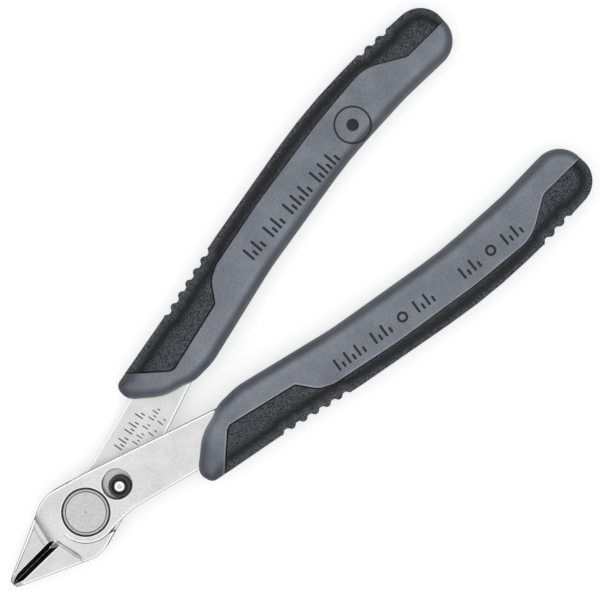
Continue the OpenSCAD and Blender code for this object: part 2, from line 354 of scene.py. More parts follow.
def shade(piece, name, value_at, turned_over):
    """Store a value for each vertex, worked out in the relief's own frame, for the material."""
    side = -1.0 if turned_over else 1.0
    flat = np.array([(side * v.co.x / MM, v.co.y / MM) for v in piece.data.vertices])
    layer = piece.data.attributes.new(name, "FLOAT", "POINT")
    layer.data.foreach_set("value", value_at(flat))


def ease(x, low, high):
    """0 below low, 1 above high, and a smooth rise between."""
    t = np.clip((x - low) / (high - low), 0, 1)
    return t * t * (3 - 2 * t)


def roll_off(d, r, drop=None):
    """How far a surface falls at a distance d from an edge rounded with radius r."""
    u = 1 - np.clip(d / r, 0, 1)
    return (r if drop is None else drop) * (1 - np.sqrt(np.clip(1 - u * u, 0, 1)))


# ---- Materials ----

class Nodes:
    """A short way to write a material's node tree. The sockets of a Mix node go by number:
    0 the factor, 2 and 3 the values, 6 and 7 the colours."""

    def __init__(self, name):
        self.material = bpy.data.materials.new(name)
        self.material.use_nodes = True
        self.tree = self.material.node_tree
        self.shader = self.tree.nodes["Principled BSDF"]

    def add(self, kind, inputs=None, **settings):
        node = self.tree.nodes.new(kind)
        for key, value in settings.items():
            setattr(node, key, value)
        for key, value in (inputs or {}).items():
            self.put(node.inputs[key], value)
        return node

    def put(self, socket, value):
        if isinstance(value, bpy.types.NodeSocket):
            self.tree.links.new(value, socket)
        elif isinstance(value, bpy.types.Node):
            self.tree.links.new(value.outputs[0], socket)
        else:
            socket.default_value = value

    def finish(self, inputs):
        """The material, once the shader's sockets are linked or set."""
        for key, value in inputs.items():
            self.put(self.shader.inputs[key], value)
        return self.material

    def place(self, scale=(1, 1, 1)):
        """The piece's own coordinates, scaled."""
        coords = self.add("ShaderNodeTexCoord")
        return self.add("ShaderNodeMapping", {"Vector": coords.outputs["Object"], "Scale": scale})

    def noise(self, vector, scale, detail, roughness=0.55):
        return self.add("ShaderNodeTexNoise", {
            "Vector": vector, "Scale": scale, "Detail": detail, "Roughness": roughness
        })

    def ramp(self, source, stops):
        node = self.add("ShaderNodeValToRGB", {"Fac": source})
        elements = node.color_ramp.elements
        while len(elements) < len(stops):
            elements.new(0.5)
        for element, (at, colour) in zip(elements, stops):
            element.position = at
            element.color = (*colour, 1.0)
        return node

    def span(self, source, low, high):
        """The middle half of a source from 0 to 1, spread over low to high."""
        return self.add("ShaderNodeMapRange", {
            "Value": source, "From Min": 0.25, "From Max": 0.75, "To Min": low, "To Max": high
        })

    def with_painted_light(self, colour):
        """The colour times a value stored on the mesh: painted shade and painted highlights."""
        painted_light = self.add("ShaderNodeAttribute", attribute_name="painted_light")
        mix = self.add("ShaderNodeMix", data_type="RGBA", blend_type="MULTIPLY")
        self.put(mix.inputs[0], 1.0)
        self.put(mix.inputs[6], colour)
        self.put(mix.inputs[7], painted_light.outputs["Color"])
        return mix.outputs[2]

    def bump(self, height, distance, strength, under=None):
        inputs = {"Height": height, "Distance": distance, "Strength": strength}
        if under is not None:
            inputs["Normal"] = under
        return self.add("ShaderNodeBump", inputs)


def tones(middle, spread):
    """A darker and a lighter shade of a colour."""
    return (
        tuple(max(0.0, c * (1 - spread)) for c in middle),
        tuple(min(1.0, c * (1 + spread)) for c in middle),
    )


def blasted_steel(name, colour, roughness=0.40):
    """Bead-blasted tool steel: a fine pitted grain over faint clouds, polished and painted lighter at
    the rims.
    """
    n = Nodes(name)
    at = n.place()
    cloud = n.noise(at, 260.0, 3.0)
    grain = n.noise(at, 4200.0, 3.0, 0.7)
    mixed = n.add("ShaderNodeMix", {0: 0.72, 2: cloud.outputs[0], 3: grain.outputs[0]})
    low, high = tones(colour, 0.16)
    blasted = n.ramp(mixed, [(0.36, low), (0.64, high)])
    # The rims' lighter colour is a painted highlight; their lower roughness is the polish.
    polished = n.ramp(grain, [(0.3, (0.84, 0.84, 0.84)), (0.7, (0.90, 0.90, 0.90))])
    rim = n.add("ShaderNodeAttribute", attribute_name="rim").outputs["Fac"]
    colours = n.add("ShaderNodeMix", {0: rim, 6: blasted, 7: polished}, data_type="RGBA")
    matt = n.span(grain, roughness - 0.05, roughness + 0.07)
    gloss = n.add("ShaderNodeMix", {0: rim, 2: matt, 3: n.span(grain, 0.20, 0.28)})
    return n.finish({
        "Base Color": colours.outputs[2],
        "Metallic": 1.0,
        "Roughness": gloss,
        "Normal": n.bump(grain, 0.00001, 0.6),
    })


def turned_steel(name, colour):
    """Faced on a lathe: faint rings around the pivot axis."""
    n = Nodes(name)
    at = n.place()
    wave = n.add("ShaderNodeTexWave", {
        "Vector": at, "Scale": 1400.0, "Distortion": 0.6, "Detail": 2.0, "Detail Scale": 2.0
    }, wave_type="RINGS", rings_direction="Z")
    cloud = n.noise(at, 2600.0, 4.0, 0.7)
    grain = n.noise(at, 9000.0, 2.0)
    low, high = tones(colour, 0.10)
    return n.finish({
        "Base Color": n.ramp(cloud, [(0.36, low), (0.64, high)]),
        "Metallic": 1.0,
        "Roughness": n.span(grain, 0.28, 0.40),
        "Normal": n.bump(wave, 0.000002, 0.35, n.bump(grain, 0.000004, 0.5)),
    })


def ground_bevel(name):
    """The blackened bevels, ground across the cutting edge."""
    n = Nodes(name)
    at = n.place((1.0, 14.0, 1.0))
    lines = n.noise(at, 900.0, 3.0)
    cloud = n.noise(n.place(), 500.0, 2.0)
    return n.finish({
        "Base Color": n.ramp(cloud, [(0.3, (0.062, 0.062, 0.063)), (0.7, (0.105, 0.105, 0.107))]),
        "Metallic": 0.6,
        "Roughness": n.span(lines, 0.30, 0.46),
        "Normal": n.bump(lines, 0.000004, 0.5),
    })


def smooth_plastic(name, colour, with_painted_light=False):
    """The hard grey component: satin, with a very fine moulded texture; painted shade and highlights if
    asked.
    """
    n = Nodes(name)
    at = n.place()
    cloud = n.noise(at, 160.0, 3.0)
    grain = n.noise(at, 4600.0, 3.0, 0.65)
    mixed = n.add("ShaderNodeMix", {0: 0.6, 2: cloud.outputs[0], 3: grain.outputs[0]})
    low, high = tones(colour, 0.28)
    shades = n.ramp(mixed, [(0.36, low), (0.64, high)])
    return n.finish({
        "Base Color": n.with_painted_light(shades) if with_painted_light else shades,
        "Roughness": n.span(grain, 0.44, 0.56),
        "Normal": n.bump(grain, 0.00002, 0.6),
    })


def grained_rubber(name, colour):
    """The soft black component: a leathery moulded grain that catches the light, coloured with painted
    shade and highlights.
    """
    n = Nodes(name)
    at = n.place()
    cells = n.add("ShaderNodeTexVoronoi", {"Vector": at, "Scale": 3400.0}, feature="F1")
    grain = n.noise(at, 4600.0, 3.0, 0.7)
    low, high = tones(colour, 0.92)
    return n.finish({
        "Base Color": n.with_painted_light(n.ramp(grain, [(0.45, low), (0.55, high)])),
        "Roughness": n.span(grain, 0.46, 0.66),
        "Sheen Weight": 0.25,
        "Sheen Roughness": 0.35,
        "Normal": n.bump(grain, 0.00012, 0.9, n.bump(cells.outputs["Distance"], 0.0001, 0.7)),
    })


def printed_ink(name):
    """Dark matt ink, slightly uneven."""
    n = Nodes(name)
    at = n.place()
    cloud = n.noise(at, 2500.0, 2.0)
    return n.finish({
        "Base Color": n.ramp(cloud, [(0.3, (0.010, 0.011, 0.014)), (0.7, (0.022, 0.023, 0.028))]),
        "Roughness": n.span(cloud, 0.45, 0.6),
    })


def pale_floor(name):
    """White to the camera, and a dim surface to the object's reflections."""
    n = Nodes(name)
    cloud = n.noise(n.place(), 8.0, 2.0)
    n.finish({
        "Base Color": n.ramp(cloud, [(0.3, (0.88, 0.88, 0.88)), (0.7, (0.90, 0.90, 0.90))]),
        "Roughness": 0.9,
        "Emission Color": (1.0, 1.0, 1.0, 1.0),
        "Emission Strength": 0.55,
    })
    dim = n.add("ShaderNodeBsdfDiffuse", {"Color": (0.34, 0.34, 0.34, 1.0)})
    seen = n.add("ShaderNodeLightPath")
    mix = n.add("ShaderNodeMixShader", {0: seen.outputs["Is Camera Ray"], 1: dim, 2: n.shader})
    n.put(n.tree.nodes["Material Output"].inputs["Surface"], mix)
    return n.material


STEEL = blasted_steel("steel_blasted", (0.72, 0.72, 0.72))
BEVEL = ground_bevel("bevel_black")
# A darker copy of the blasted steel for the rear jaw's facet: painted shade.
FACET_PAINTED_SHADE = blasted_steel("facet_painted_shade", (0.42, 0.42, 0.42), 0.34)
TURNED = turned_steel("steel_turned", (0.57, 0.57, 0.57))
RING_STEEL = turned_steel("ring_steel", (0.50, 0.50, 0.50))
PIN_STEEL = turned_steel("pin_steel", (0.86, 0.86, 0.86))
SPRING = blasted_steel("spring_wire", (0.45, 0.45, 0.46), 0.3)
# The grips' colours are multiplied by painted shade and painted highlights stored on their meshes.
GREY = smooth_plastic("grip_grey", (0.272, 0.300, 0.353), with_painted_light=True)
BLACK = grained_rubber("grip_black", (0.073, 0.077, 0.095))
SLEEVE = smooth_plastic("sleeve_black", (0.058, 0.058, 0.062))
INK = printed_ink("pad_print")
ETCH = printed_ink("etched_mark")
FLOOR = pale_floor("floor_pale")


# ---- Steel halves ----

def tip_fall(y):
    """How much further the front falls at the very tip."""
    return (TIP_SLOPE - TAPER_SLOPE) * np.maximum(0, y - TIP_FROM)


def front_z(y):
    """Height of the taper on the front of both jaws."""
    return RELIEF_Z - TAPER_SLOPE * np.maximum(0, y - TAPER_FROM) - tip_fall(y)


def back_z(y):
    """Height of the flush side of both jaws."""
    return FLUSH_SLOPE * np.maximum(0, y - FLUSH_FROM) - PLATE


def along(v, turn):
    """Distance along Y after turning the plane by -turn degrees about the pivot."""
    a = math.radians(turn)
    return v[:, 1] * math.cos(a) - v[:, 0] * math.sin(a)


def edge_z(y):
    """Height of the cutting edge."""
    return back_z(np.maximum(y, BEVEL_FULL))


def beside_edge(y):
    """Whether a height y is on the stretch of the cutting edges."""
    return (y > BOSS_R - 0.3) & (y < NOSE - 0.4)


def bevel_cut(v, front_jaw):
    """The bevel: an upright wall along the edge, and a curved run-out at its inner end."""
    x, y = np.abs(v[:, 0]), v[:, 1]
    wide = BEVEL_W - BEVEL_NARROWS * np.maximum(0, y - BEVEL_FULL)
    closing_from, closed_at, least = BEVEL_POINT
    left = np.clip((closed_at - y) / (closed_at - closing_from), 0, 1)
    wide = np.where(y > closing_from, least + (wide - least) * left ** 0.8, wide)
    foot = edge_z(y)
    wall = foot + x / wide * (front_z(y) - foot)
    start = 7.0 + 0.9 * x * x if front_jaw else 6.9
    run_out = PLATE - 1.05 * np.maximum(0, y - start) ** 2
    return np.maximum(wall, run_out)


def bevel_shoulder(front_jaw):
    """The line where the bevel meets the front face, found by halving."""
    points = []
    for y in np.concatenate([np.arange(7.02, 8.6, 0.06), np.arange(8.6, NOSE, 0.14), [NOSE]]):
        low, high = 0.0, 1.4
        for _ in range(24):
            x = (low + high) / 2
            at = np.array([[x, y]])
            under = bevel_cut(at, front_jaw)[0] < jaw_front(at, front_jaw)[0]
            low, high = (x, high) if under else (low, x)
        if low > 0.02:
            points.append((low, y))
    return np.array(points)


# Rows of points across a jaw, as distances from the pivot square to the slanted step.
FRONT_ROWS = (
    6.3, 6.65, 7.0, 7.3, 7.58, 7.82, 8.04, 8.2, 8.34, 8.42, 8.46, 8.54, 8.72, 8.94,
    9.10, 9.20, 9.25, 9.30, 9.44, 9.49, 9.54, 9.68,
)
REAR_ROWS = (
    6.78, 6.90, 7.0, 7.1, 7.16, 7.2, 7.27, 7.34, 7.46, 7.49, 7.52, 7.56, 7.6, 7.72, 7.9, 8.1,
)


def jaw_front(v, front_jaw):
    """Front face of a jaw: a hollow-ground cove and a scribed line, or one narrow step."""
    x, y = v[:, 0], v[:, 1]
    s = along(v, STEP_TURN)
    if front_jaw:
        ramp = PLATE - (PLATE - RELIEF_Z) * np.clip((s - COVE[0]) / (COVE[1] - COVE[0]), 0, 1) ** 2
        z = np.where(s < COVE[1], ramp, RELIEF_Z - TAPER_SLOPE * np.maximum(0, s - 9.5))
        # The line at the cove's end, then the scribed line, each faded out at the outer side.
        z = z - 0.10 * (ease(s, 8.34, 8.42) - ease(s, 8.46, 8.54)) * (1 - ease(x, 4.9, 5.2))
        z = z - 0.16 * (ease(s, 9.20, 9.30) - ease(s, 9.44, 9.54)) * (1 - ease(x, 4.3, 4.55))
        # The strip is a little lower than the face.
        gap = distance(v, STRIP, closed=False)
        gap = np.where(x > 5.89 - 0.413 * (y - 7), 0, gap)
        fade = ease(y, 7.9, 8.6) * (1 - ease(y, 16.2, 17.0))
        z = z - fade * 0.10 * (1 - ease(gap, *STRIP_W))
    else:
        taper = RELIEF_Z + TAPER_SLOPE * (TAPER_FROM - y)
        wide = 0.2 + 1.0 * ease(x, 4.4, 5.8)
        step = np.clip((s - 6.9) / wide, 0, 1)
        z = PLATE + (taper - PLATE) * step * step * (3 - 2 * step)
        groove = ease(s, 7.12, 7.2) * (1 - ease(s, 7.2, 7.34))
        groove = groove + ease(s, 7.46, 7.52) * (1 - ease(s, 7.52, 7.6))
        z = z - 0.14 * groove * (1 - ease(x, 4.2, 5.4)) * ease(x, 0.92, 1.04)
    return z - tip_fall(y)


def steel_outline():
    """One half's outline, with closer points around the jaw."""
    leaves = math.radians(ARM_LEAVES)
    start = BOSS_R * np.array([math.cos(leaves), math.sin(leaves)])
    edge = [(*start, 0), *ARM, WAIST, SHOULDER, NOSE_SIDE, (LAP, NOSE, 0), (LAP, BOSS_R, 0)]
    path = divided(np.concatenate([rounded(edge), arc(BOSS_R, 92, ARM_LEAVES - 2)]), 0.5)
    finer = []
    for p, q in zip(path, np.roll(path, -1, axis=0)):
        in_jaw = p[0] > 0.1 and p[1] > JAW_FROM
        finer.append(divided(np.array([p, q]), 0.14 if in_jaw else 1.0, closed=False)[:-1])
    return np.concatenate(finer)


def crease(turn, y, outline):
    """A straight row of points across the jaw up to its soft edge, turned by turn degrees."""
    a = math.radians(turn)
    ahead = np.array([math.cos(a), math.sin(a)])
    start = np.array([-math.sin(a), math.cos(a)]) * y
    line = start + np.arange(-1.5, 9.0, 0.22)[:, None] * ahead
    clear = inside(line, outline) & (distance(line, outline) > EDGE_R + 0.06)
    return line[(line[:, 0] > -0.4) & ((line[:, 0] < 0.5) | clear)]


def steel_half(name, rear):
    """One half in its own frame: its own layer up, its jaw on +X. The rear one is turned over."""
    outline = steel_outline()
    jaw_edge = divided(np.concatenate([JAW_ROOT, arc(JAW_R, 0, 90)]), 0.4, closed=False)
    shank, seat = circle(SHANK_R), circle(SEAT_R, step=2.5)
    if rear:
        hole = circle(STOP_PIN[2] + 0.02, (-STOP_PIN[0], STOP_PIN[1]), 6.0)
    else:
        hole = circle(STOP_HOLE[2], STOP_HOLE[:2])
    shoulder = bevel_shoulder(not rear)
    head = np.array([[0.0, shoulder[0][1]], shoulder[0]])
    bevel_area = np.concatenate([[[-1.0, shoulder[0][1]]], head, shoulder[1:], [[-1.0, NOSE + 1]]])
    shoulder = np.concatenate([head, shoulder[1:], [[shoulder[-1][0], NOSE + 0.05]]])
    # The pale facet where the cutting edge starts: its fall, and the corners of its outer side.
    if rear:
        facet_fall, ends = 0.55, ((0.90, 6.93), (0.80, 8.06), (0.0, BEVEL_FULL))
    else:
        facet_fall, ends = 0.25, ((0.30, 7.17), (0.12, 9.0), (0.0, BEVEL_FULL))
    facet_edge = divided(np.array([(0.0, shoulder[0][1] + 0.01), *ends]), 0.2, closed=False)
    facet_area = np.concatenate([[[-1.0, facet_edge[0][1]]], facet_edge, [[-1.0, BEVEL_FULL]]])
    lines = [crease(STEP_TURN, at, outline) for at in (REAR_ROWS if rear else FRONT_ROWS)]
    lines += [shoulder, facet_edge, crease(0, TIP_FROM, outline)]
    if not rear:
        lines += [divided(STRIP - STRIP_SQUARE * w, 0.3, closed=False) for w in STRIP_W]
    across = np.arange(0.1, 7, JAW_PITCH)
    upwards = np.arange(JAW_GRID_FROM, NOSE, JAW_PITCH)
    jaw_grid = np.array([(x, y) for y in upwards for x in across])
    jaw_grid = jaw_grid[distance(jaw_grid, outline) > EDGE_R + 0.08]
    for line in lines:
        jaw_grid = jaw_grid[distance(jaw_grid, line, closed=False) > 0.11]
    lines += [jaw_edge, seat]
    broad = fill(outline, ARM_PITCH, 0.5)
    broad = broad[(broad[:, 0] < -0.5) | (broad[:, 1] < JAW_FROM)]
    points = np.concatenate([
        rings(shoulder[2:], BEVEL_ROWS, closed=False, both=True),
        rings(outline, EDGE_ROWS),
        rings(hole[::-1], EDGE_ROWS),
        rings(seat[::-1], SEAT_ROWS),
        broad,
        jaw_grid,
    ])
    v, t = triangulate([outline, hole, shank], lines, points)

    jaw_area = np.concatenate([jaw_edge, [[0.0, 30.0], [30.0, 30.0], [30.0, JAW_ROOT[0][1]]]])

    def within(area):
        """A test of points against an area's part on the jaw's side."""
        return lambda p: inside(p, area) & (p[:, 0] > 0)

    jaw, bevel, facet = within(jaw_area), within(bevel_area), within(facet_area)

    def facet_z(v):
        z = np.minimum(PLATE - facet_fall * (v[:, 1] - 6.9), jaw_front(v, not rear))
        return -z if rear else z

    def solid(p):
        return inside(p, outline) & ~inside(p, hole) & ~inside(p, shank)

    def top_of(p):
        """The patch on the upper side of each triangle, or None outside the steel."""
        names = np.where(np.hypot(p[:, 0], p[:, 1]) < SEAT_R, "seat", "face").astype(object)
        if not rear:
            names[bevel(p)] = "bevel"
            names[facet(p)] = "facet"
        names[~solid(p)] = None
        return names

    def bottom_of(p):
        names = np.where(jaw(p), "back", "lap").astype(object)
        if rear:
            names[jaw(p) & bevel(p)] = "bevel"
            names[jaw(p) & facet(p)] = "facet"
        return names

    def edge_fall(v):
        """Rounding at the outline, left out along the cutting edges."""
        at_edge, at_hole = distance(v, outline), distance(v, hole)
        d = np.minimum(at_edge, at_hole)
        keen = (v[:, 0] < 0.5) & beside_edge(v[:, 1])
        sag = 0.02 * (1 - ease(d, 0.06, EDGE_R))
        soft_fall = np.maximum(roll_off(at_edge, FALL_AT_EDGE), roll_off(at_hole, FALL_AT_HOLE))
        return np.where(keen, 0, sag + soft_fall)

    def polish_and_painted_highlight_at(v):
        """1 on the polished rims, coloured lighter as a painted highlight, 0 on the blasted faces and
        at the very edge.
        """
        x, y = v[:, 0], v[:, 1]
        d = np.minimum(distance(v, outline), distance(v, hole) + 0.08)
        rim = 1 - ease(d, 0.26, 0.40)
        off_seat = np.hypot(x, y) - SEAT_R
        rim = np.maximum(rim, (off_seat > 0.03) * (1 - ease(off_seat, 0.12, 0.24)))
        if not rear:
            strip = distance(v, STRIP, closed=False)
            rim = np.where((x > 0.5) & (y > 8.6), np.maximum(rim, 1 - ease(strip, 0.56, 0.61)), rim)
        rim = np.where((x > -0.1) & (x < 0.6) & beside_edge(y), 0, rim)
        wide = 0.22 if rear else 0.12
        rim = np.maximum(rim, 1 - ease(distance(v, shoulder[2:], closed=False), wide * 0.6, wide))
        # The front facet is coloured lighter as a painted highlight; the rear one keeps its darker
        # painted-shade material.
        rim = np.where(facet(v), 0.0 if rear else 1.0, rim)
        return rim * ease(d, 0.07, 0.12)

    def seat_fall(v):
        return roll_off(np.abs(np.hypot(v[:, 0], v[:, 1]) - SEAT_R), 0.1)

    def flush(v):
        return back_z(v[:, 1]) + edge_fall(v)

    def front(v):
        return jaw_front(v, not rear) - edge_fall(v)

    def own_face(v):
        jaw_face = -flush(v) if rear else front(v)
        return np.where(v[:, 0] >= 0, jaw_face, PLATE - edge_fall(v)) - seat_fall(v)

    def jaw_back(v):
        return -front(v) if rear else flush(v)

    def walls(v):
        z = np.minimum(bevel_cut(v, not rear), jaw_front(v, not rear))
        return -z if rear else z

    heights = {
        "face": own_face,
        "seat": lambda v: np.full(len(v), SEAT_Z),
        "lap": lambda v: np.full(len(v), LAP),
        "back": jaw_back,
        "bevel": walls,
        "facet": facet_z,
    }
    slots = {"bevel": 1, "seat": 1, "facet": 2 if rear else 0}
    relief = Relief(v, t, top_of, bottom_of, heights, slots)
    piece = relief.make(name, [STEEL, BEVEL, FACET_PAINTED_SHADE], turned_over=rear)
    # Polish and a lighter painted highlight colour along the rims.
    shade(piece, "rim", polish_and_painted_highlight_at, rear)
    body = "rear" if rear else "front"
    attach(piece, body)
    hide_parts(body + "_half")


steel_half("steel_rear", rear=True)
steel_half("steel_front", rear=False)


# ---- Grips ----

# First rib, turn of the row in degrees, number of ribs and their pitch.
RIB_GROUPS = [((15.1, -35.15), 13.0, 6, 2.45), ((23.4, -91.9), -3.2, 3, 2.55)]
RIB_DEPTH = 0.60
# Sides of a grip: distance from the outline, and fall below the flat.
PAD_SIDE = (
    (0, 0.05, 0.15, 0.4, 0.9, 1.15, 1.5, 2.0, 2.5, 3.0, 3.5),
    (3.6, 2.9, 2.55, 2.38, 2.12, 1.80, 1.20, 0.52, 0.16, 0.02, 0),
)
INNER_SIDE = (
    (0, 0.05, 0.16, 0.40, 0.70, 0.95, 1.22, 1.50, 1.85, 2.35),
    (4.2, 3.7, 3.1, 2.3, 1.42, 0.90, 0.42, 0.16, 0.04, 0),
)
# The same over the steel arm, where the collar ends on the plate's face.
COLLAR_SIDE = (
    (0, 0.1, 0.3, 0.6, 1.0, 1.5, 2.1, 2.8, 3.4),
    (1.60, 1.32, 1.06, 0.78, 0.50, 0.26, 0.10, 0.02, 0),
)
# Painted light against the distance from the outline: a painted highlight at the rim, painted shade
# inside it.
PAD_PAINTED_LIGHT = (
    (0, 0.4, 0.7, 1.0, 1.3, 1.6, 1.9, 2.2, 2.8, 3.4),
    (1.60, 1.45, 1.15, 0.60, 0.25, 0.20, 0.32, 0.55, 0.85, 1.0),
)
# The same for the grey body: a painted highlight at the edge, painted shade on its rounding, a lighter
# painted band inside.
BODY_PAINTED_LIGHT = (
    (0, 0.3, 0.55, 0.9, 1.3, 1.7, 2.1, 2.6, 3.2),
    (1.45, 1.20, 0.84, 0.84, 1.0, 1.06, 1.08, 1.03, 1.0),
)
# The slot beside the seam, in the pad, and the rounded lip along it.
SLOT_W = 0.26
SLOT_NARROW = 0.14
SLOT_DEEP = 1.1
LIP_R = 0.3
LIP_FALL = 0.2
OUTER_ROWS = [0.05, 0.15, 0.3, 0.5, 0.7, 0.95, 1.2, 1.5, 1.8, 2.1, 2.4, 2.8, 3.2, 3.5]
SEAM_ROWS = [0.08, SLOT_NARROW, 0.2, SLOT_W, 0.34, 0.5]
# Middle of the grip: heights, and X there.
CENTRE = ((-106, -90, -70, -50, -34, -24, -19), (17.4, 17.8, 16.2, 12.6, 9.0, 9.2, 10.6))


def rib_cut(points):
    """How deep the ribs' notches cut into the outer edge at each point."""
    depth = np.zeros(len(points))
    for start, turn, count, pitch in RIB_GROUPS:
        a = math.radians(turn)
        down = np.array([math.sin(a), -math.cos(a)])
        out = np.array([math.cos(a), math.sin(a)])
        u = (points - start) @ down / pitch
        near = (np.abs((points - start) @ out) < 2.5) & (u > -0.45) & (u < count - 0.45)
        crest = np.abs(u - np.floor(u) - 0.55)
        depth = np.where(near, RIB_DEPTH * ease(crest, 0.10, 0.40) - 0.07, depth)
    return depth


def grip_outline():
    """The grip's outline with the ribs' notches cut into its outer edge."""
    path = divided(rounded(GRIP, 4.0), 0.22)
    outer = path[:, 0] > centre_x(path[:, 1])
    return path + leftward(path) * (rib_cut(path) * outer)[:, None]


def centre_x(y):
    """Middle of the grip at a height y."""
    return np.interp(y, *CENTRE)


def grip_pieces():
    """The grey body and the black pad of both grips, cut from one triangulation at the seam."""
    outline = grip_outline()
    seam = divided(rounded(SEAM, 5.0, closed=False), 0.3, closed=False)
    closing = np.array([[30.0, -108.5], [30.0, -20.2]])
    pad_area = np.concatenate([seam, closing])
    loose = np.concatenate([
        rings(outline, OUTER_ROWS),
        rings(seam, SEAM_ROWS, closed=False, both=True),
        fill(outline, 0.9, 3.3),
    ])
    loose = loose[inside(loose, outline)]
    v, t = triangulate([outline], [seam], loose)

    def crown(v, on_plate):
        """Height of the rounded face. on_plate: the face whose collar ends on the steel."""
        d = distance(v, outline)
        inner = np.interp(d, *INNER_SIDE)
        if on_plate:
            collar = ease(v[:, 1], -31.5, -28.5) * (1 - ease(v[:, 0], 9.5, 11.5))
            inner = inner + (np.interp(d, *COLLAR_SIDE) - inner) * collar
        outer = np.interp(d, *PAD_SIDE)
        share = ease(v[:, 0] - centre_x(v[:, 1]), -0.5, 2.0) * ease(-v[:, 1], 20.5, 23.0)
        return GRIP_H - inner * (1 - share) - outer * share

    def slot_width(v):
        return SLOT_W + (SLOT_NARROW - SLOT_W) * ease(-v[:, 1], 42.0, 60.0)

    def lipped(v, pad, on_plate):
        d = distance(v, seam, closed=False)
        slot = SLOT_DEEP * (1 - ease(d / slot_width(v), 0.7, 1.0)) if pad else 0
        slot = slot * ease(distance(v, outline), 0.3, 2.2)
        return crown(v, on_plate) - roll_off(d, LIP_R, LIP_FALL) - slot

    def half(pad):
        def which(p):
            mine = inside(p, outline) & (inside(p, pad_area) == pad)
            names = np.full(len(p), None, dtype=object)
            names[mine] = "top"
            return names

        def under(p):
            return np.full(len(p), "bottom", dtype=object)

        heights = {
            "top": lambda w: lipped(w, pad, on_plate=False),
            "bottom": lambda w: -lipped(w, pad, on_plate=True),
        }
        return Relief(v, t, which, under, heights, {})

    def pad_painted_light(p):
        """Painted shade on the slope and in the slot, painted rim highlight, moved out near collar and
        end.
        """
        shift = 0.45 * (1 - ease(-p[:, 1], 45.0, 60.0)) + 0.35 * ease(-p[:, 1], 86.0, 92.0)
        rim = np.interp(distance(p, outline) - shift, *PAD_PAINTED_LIGHT)
        return rim * (0.2 + 0.8 * ease(distance(p, seam, closed=False) / slot_width(p), 0.8, 1.1))

    def body_painted_light(p, painted_seam_highlight):
        """Painted light at the edge, painted shade at the collar, a painted seam highlight of the given
        strength.
        """
        edge = np.interp(distance(p, outline), *BODY_PAINTED_LIGHT)
        # Painted shade, darker towards the collar's end.
        collar = np.interp(p[:, 1], (-26.5, -24.5, -23.0, -20.5), (1.0, 0.86, 0.70, 0.60))
        return edge * collar + painted_seam_highlight * (1 - ease(distance(p, seam, closed=False), 0.12, 0.36))

    for body, over in (("rear", False), ("front", True)):
        for kind, pad, material in (("body", False, GREY), ("pad", True, BLACK)):
            piece = half(pad).make(f"grip_{body}_{kind}", [material], turned_over=over, sharp=50.0)
            # The seam's painted highlight is strong on the front grip and faint on the rear one.
            painted_seam_highlight = 0.9 if over else 0.1
            shade(piece, "painted_light", pad_painted_light if pad else lambda p: body_painted_light(p, painted_seam_highlight), over)
            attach(piece, body)
            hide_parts(f"{body}_grip_{kind}")


grip_pieces()


# ---- Joint and stop ----

def lathe(name, profile, centre, material, body, replaced, sides=96, flip=False):
    """A turned piece: a closed profile of (radius, height) spun about an upright axis."""
    points, faces = [], []
    n = len(profile)
    for k in range(sides):
        a = 2 * math.pi * k / sides
        for r, z in profile:
            x, y = centre[0] + r * math.cos(a), centre[1] + r * math.sin(a)
            points.append((x * MM, y * MM, (-z if flip else z) * MM))
    for k in range(sides):
        j = (k + 1) % sides
        for i in range(n):
            m = (i + 1) % n
            if profile[i][0] == 0 and profile[m][0] == 0:
                continue
            quad = [k * n + i, j * n + i, j * n + m, k * n + m]
            faces.append(quad[::-1] if flip else quad)
    piece = new_piece(name, points, faces, [material], 35.0)
    bm = bmesh.new()
    bm.from_mesh(piece.data)
    bmesh.ops.recalc_face_normals(bm, faces=bm.faces)
    bm.to_mesh(piece.data)
    bm.free()
    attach(piece, body)
    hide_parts(replaced)


def soft_corner(r, z, size, start, end, n=4):
    """Profile points around a rounded corner centred at (r, z), angles in degrees."""
    return [
        (r + size * math.cos(math.radians(start + (end - start) * i / n)),
         z + size * math.sin(math.radians(start + (end - start) * i / n)))
        for i in range(n + 1)
    ]


HEAD_TOP = PLATE - 0.01
HEAD_EDGE = 0.07


def flat_head(dimple, under):
    """Profile of a flat round head: radii and depths of its centre mark, then its under side."""
    profile = [(r, HEAD_TOP - depth) for r, depth in dimple]
    profile += [(HEAD_R - 0.2, HEAD_TOP), (HEAD_R - 0.1, HEAD_TOP)]
    profile += soft_corner(HEAD_R - HEAD_EDGE, HEAD_TOP - HEAD_EDGE, HEAD_EDGE, 90, 0)
    return profile + under


rivet_dimple = ((0, 0.08), (0.1, 0.07), (0.2, 0.02), (0.27, 0), (0.32, 0), (1.5, 0))
rivet_under = [(HEAD_R, SEAT_Z + 0.02), (2.6, SEAT_Z + 0.02), (2.6, -SEAT_Z), (0, -SEAT_Z)]
rivet_profile = flat_head(rivet_dimple, rivet_under)
lathe("joint_rivet", rivet_profile, (0, 0), TURNED, "rear", "pivot_rivet")

cap_dimple = ((0, 0.10), (0.14, 0.09), (0.3, 0.02), (0.4, 0), (0.46, 0), (1.6, 0))
cap_profile = flat_head(cap_dimple, [(HEAD_R, SEAT_Z + 0.01), (0, SEAT_Z + 0.01)])
lathe("joint_cap", cap_profile, (0, 0), TURNED, "rear", "rivet_cap", flip=True)

ring_profile = soft_corner(RING_OUT - 0.03, HEAD_TOP - 0.07, 0.03, 90, 0)
ring_profile += [(RING_OUT, SEAT_Z + 0.01), (RING_IN, SEAT_Z + 0.01)]
ring_profile += soft_corner(RING_IN + 0.02, HEAD_TOP - 0.04, 0.02, 180, 90)
lathe("ring_front", ring_profile, (0, 0), RING_STEEL, "front", "front_ring")
lathe("ring_rear", ring_profile, (0, 0), RING_STEEL, "rear", "rear_ring", flip=True)

